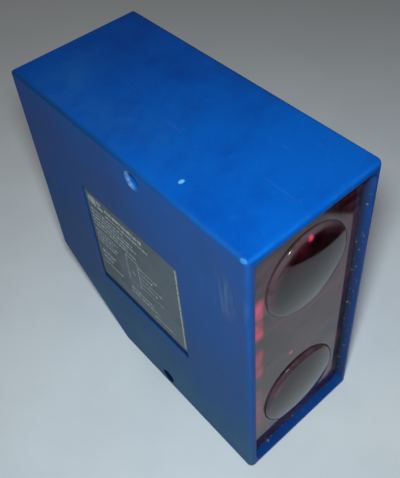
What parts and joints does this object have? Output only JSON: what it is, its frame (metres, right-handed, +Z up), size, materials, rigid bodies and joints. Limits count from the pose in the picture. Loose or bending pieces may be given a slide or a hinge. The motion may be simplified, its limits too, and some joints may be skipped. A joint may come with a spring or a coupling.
{
  "type": "photoelectric sensor",
  "caption": "Block-shaped photoelectric sensor with a red lens panel, cross-drilled die-cast housing, adjustment knobs under a rear cover and a cable gland.",
  "frame": {"origin": "middle of the bounding box's bottom face, on the surface that the sensor stands on", "axes": "+X across the width, away from the rating label; -Y the way the lenses look; +Y the wiring side; +Z up"},
  "size_m": [0.054, 0.118, 0.125],
  "materials": {
    "housing_paint": "semi-gloss blue powder coat",
    "label_foil": "satin grey printed foil",
    "red_lens": "clear red moulded plastic, polished",
    "seal_rubber": "matte",
    "optics_black": "matte, light-absorbing",
    "steel_screw": "zinc plated",
    "filter_film": "smooth dark film",
    "circuit_board": "green solder resist",
    "led_red": "clear red",
    "led_green": "clear green",
    "led_amber": "clear amber",
    "sensor_can": "tinned can",
    "core_steel": "varnished plates",
    "winding_tape": "yellow tape",
    "relay_case": "moulded",
    "capacitor_can": "sleeved can",
    "header_plastic": "moulded",
    "ribbon_grey": "flat cable",
    "control_body": "moulded",
    "terminal_green": "moulded",
    "brass_parts": "bright",
    "cover_plastic": "fine-grained black",
    "knob_plastic": "moulded light grey",
    "selector_plastic": "moulded orange",
    "gland_nickel": "nickel plated"
  },
  "bodies": {
    "sensor_body": {"housing": "housing_paint", "rating_label": "label_foil", "front_lens_panel": "red_lens", "front_panel_seal": "seal_rubber", "optics_frame": "optics_black", "optics_screws": "steel_screw", "emitter_polarising_filter": "filter_film", "receiver_polarising_filter": "filter_film", "emitter_board": "circuit_board", "receiver_board": "circuit_board", "light_board_screws": "steel_screw", "emitter_led": "led_red", "receiver_photodiode": "sensor_can", "main_board": "circuit_board", "main_board_screws": "steel_screw", "transformer_core": "core_steel", "transformer_winding": "winding_tape", "output_relay": "relay_case", "filter_capacitor": "capacitor_can", "board_connectors": "header_plastic", "ribbon_cables": "ribbon_grey", "control_board": "circuit_board", "control_board_screws": "steel_screw", "potentiometers": "control_body", "selector_switch": "control_body", "power_led": "led_green", "signal_led": "led_amber", "terminal_block": "terminal_green", "terminal_clamps": "brass_parts", "terminal_screws": "steel_screw", "earth_washer": "brass_parts", "earth_screw": "steel_screw", "gland_body": "gland_nickel", "gland_washer": "seal_rubber", "gland_locknut": "gland_nickel", "gland_cable_seal": "seal_rubber"},
    "rear_cover": {"rear_cover": "cover_plastic", "rear_cover_seal": "seal_rubber", "rear_cover_screws": "steel_screw", "power_light_pipe": "led_green", "signal_light_pipe": "led_amber"},
    "sensitivity_knob": {"sensitivity_knob": "knob_plastic"},
    "light_dark_selector": {"light_dark_selector": "selector_plastic"},
    "on_delay_knob": {"on_delay_knob": "knob_plastic"},
    "off_delay_knob": {"off_delay_knob": "knob_plastic"},
    "gland_nut": {"gland_nut": "gland_nickel"}
  },
  "joints": [
    {"name": "rear_cover_lift_off", "type": "slide", "parent": "sensor_body", "child": "rear_cover", "axis": [0, 1, 0], "range_m": [0, 0.045]},
    {"name": "sensitivity_turn", "type": "hinge", "parent": "sensor_body", "child": "sensitivity_knob", "pos_m": [-0.0085, 0.0537, 0.1], "axis": [0, -1, 0], "range_deg": [-135, 135]},
    {"name": "light_dark_turn", "type": "hinge", "parent": "sensor_body", "child": "light_dark_selector", "pos_m": [0.0085, 0.0537, 0.1], "axis": [0, -1, 0], "range_deg": [0, 90]},
    {"name": "on_delay_turn", "type": "hinge", "parent": "sensor_body", "child": "on_delay_knob", "pos_m": [-0.0085, 0.0537, 0.086], "axis": [0, -1, 0], "range_deg": [-135, 135]},
    {"name": "off_delay_turn", "type": "hinge", "parent": "sensor_body", "child": "off_delay_knob", "pos_m": [0.0085, 0.0537, 0.086], "axis": [0, -1, 0], "range_deg": [-135, 135]},
    {"name": "gland_nut_turn", "type": "hinge", "parent": "sensor_body", "child": "gland_nut", "pos_m": [0, 0.04621, 0.01049], "axis": [0, 0.6435, -0.7654], "range_deg": [-540, 0]}
  ]
}
